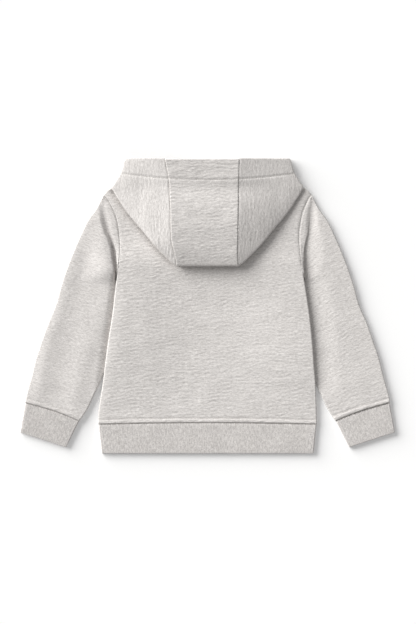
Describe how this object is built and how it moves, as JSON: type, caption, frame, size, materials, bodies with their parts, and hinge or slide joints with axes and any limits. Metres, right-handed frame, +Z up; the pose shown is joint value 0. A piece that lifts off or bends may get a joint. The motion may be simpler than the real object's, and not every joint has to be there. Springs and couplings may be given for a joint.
{
  "type": "toddler hoodie",
  "caption": "Plain light grey heather pullover hoodie for a toddler, laid flat with its back up and its panelled hood folded down, with ribbed cuffs and hem band.",
  "frame": {"origin": "middle of the bounding box's bottom face, on the surface that the garment lies on", "axes": "+X across the garment, its longest extent; +Y from the hem band to the hood; +Z up, its shortest extent, with the back of the garment facing +Z"},
  "size_m": [0.581, 0.4568, 0.0361],
  "materials": {
    "fleece": "matt heather melange fleece, fine slubs along the knit",
    "rib": "matt heather knit in fine one by one ribs, a little darker than the fleece"
  },
  "bodies": {
    "root": {"back_panel": "fleece", "front_panel": "fleece", "sleeve_left": "fleece", "sleeve_right": "fleece", "cuff_left": "rib", "cuff_right": "rib", "hem_band": "rib", "hood_centre": "fleece", "hood_side_left": "fleece", "hood_side_right": "fleece", "hood_lower": "fleece", "hood_front_left": "fleece", "hood_front_right": "fleece"}
  },
  "joints": []
}
